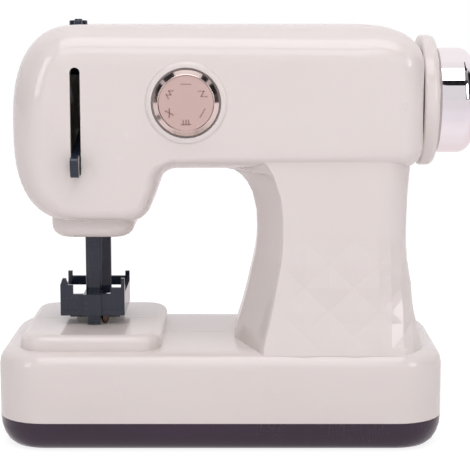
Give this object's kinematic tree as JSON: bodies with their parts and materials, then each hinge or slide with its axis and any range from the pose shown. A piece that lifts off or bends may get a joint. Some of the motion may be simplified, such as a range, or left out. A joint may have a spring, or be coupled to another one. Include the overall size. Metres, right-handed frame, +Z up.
{
  "type": "toy sewing machine",
  "caption": "Toy sewing machine: rounded body on a dark tray, with a faceted hand wheel, a turning dial, a press button, a swinging take-up lever and a sliding needle bar with a foot.",
  "frame": {"origin": "middle of the whole machine's footprint, on the surface that it stands on", "axes": "+X to the right towards the hand wheel, +Y to the back, +Z up"},
  "size_m": [0.1774, 0.08, 0.1566],
  "materials": {
    "cream_plastic": "glossy moulded",
    "brown_plastic": "glossy moulded",
    "slate_plastic": "glossy moulded",
    "rose_plating": "mirror plated",
    "steel": "plain",
    "copper": "plain",
    "nylon": "natural",
    "cell_case": "plain sleeve",
    "motor_case": "plain"
  },
  "bodies": {
    "body": {"front_shell": "cream_plastic", "back_shell": "cream_plastic", "bottom_tray": "brown_plastic", "battery_cover": "brown_plastic", "battery_cells": "cell_case", "battery_contacts": "steel", "shell_screws": "steel", "tray_screws": "steel", "shaft_bushes": "nylon", "gear_pin": "steel", "gear_bracket": "nylon", "motor_can": "motor_case", "motor_cap": "slate_plastic", "button_spring": "steel", "switch_body": "slate_plastic", "guide_rod": "steel", "bar_guide": "nylon", "lever_pin": "steel"},
    "handwheel": {"main_shaft": "steel", "crank_disc": "nylon", "shaft_gear": "nylon", "handwheel_collar": "cream_plastic", "handwheel_knob": "rose_plating"},
    "double_gear": {"compound_gear": "nylon"},
    "rotor": {"motor_pinion": "copper"},
    "dial": {"stitch_dial": "rose_plating", "dial_face": "rose_plating", "dial_retainer": "steel"},
    "button": {"top_button": "slate_plastic"},
    "needle": {"needle_bar": "slate_plastic", "foot_frame": "slate_plastic", "needle_tip": "copper", "needle_carriage": "nylon"},
    "lever": {"take_up_lever": "slate_plastic"}
  },
  "joints": [
    {"name": "handwheel_spin", "type": "hinge", "parent": "body", "child": "handwheel", "pos_m": [0.06, 0, 0.1262], "axis": [1, 0, 0], "continuous": true},
    {"name": "double_gear_spin", "type": "hinge", "parent": "body", "child": "double_gear", "pos_m": [0.0083, 0, 0.1102], "axis": [1, 0, 0], "continuous": true},
    {"name": "rotor_spin", "type": "hinge", "parent": "body", "child": "rotor", "pos_m": [0.0083, 0, 0.0966], "axis": [1, 0, 0], "continuous": true},
    {"name": "dial_turn", "type": "hinge", "parent": "body", "child": "dial", "pos_m": [-0.01865, -0.031, 0.1269], "axis": [0, -1, 0], "continuous": true},
    {"name": "button_press", "type": "slide", "parent": "body", "child": "button", "axis": [0, 0, -1], "range_m": [0, 0.0014], "stiffness_N_per_m": 200, "springref_m": -0.002, "deforming": ["button_spring"]},
    {"name": "needle_slide", "type": "slide", "parent": "body", "child": "needle", "axis": [0, 0, 1], "range_m": [0, 0.013]},
    {"name": "lever_swing", "type": "hinge", "parent": "body", "child": "lever", "pos_m": [-0.0585, 0.024, 0.1203], "axis": [-1, 0, 0], "range_deg": [0, 30.31]}
  ],
  "couplings": [
    {"joint": "double_gear_spin", "follows": "handwheel_spin", "ratio": -3},
    {"joint": "rotor_spin", "follows": "handwheel_spin", "ratio": 9.75},
    {"joint": "lever_swing", "follows": "needle_slide", "rad_per_m": 40.69}
  ]
}
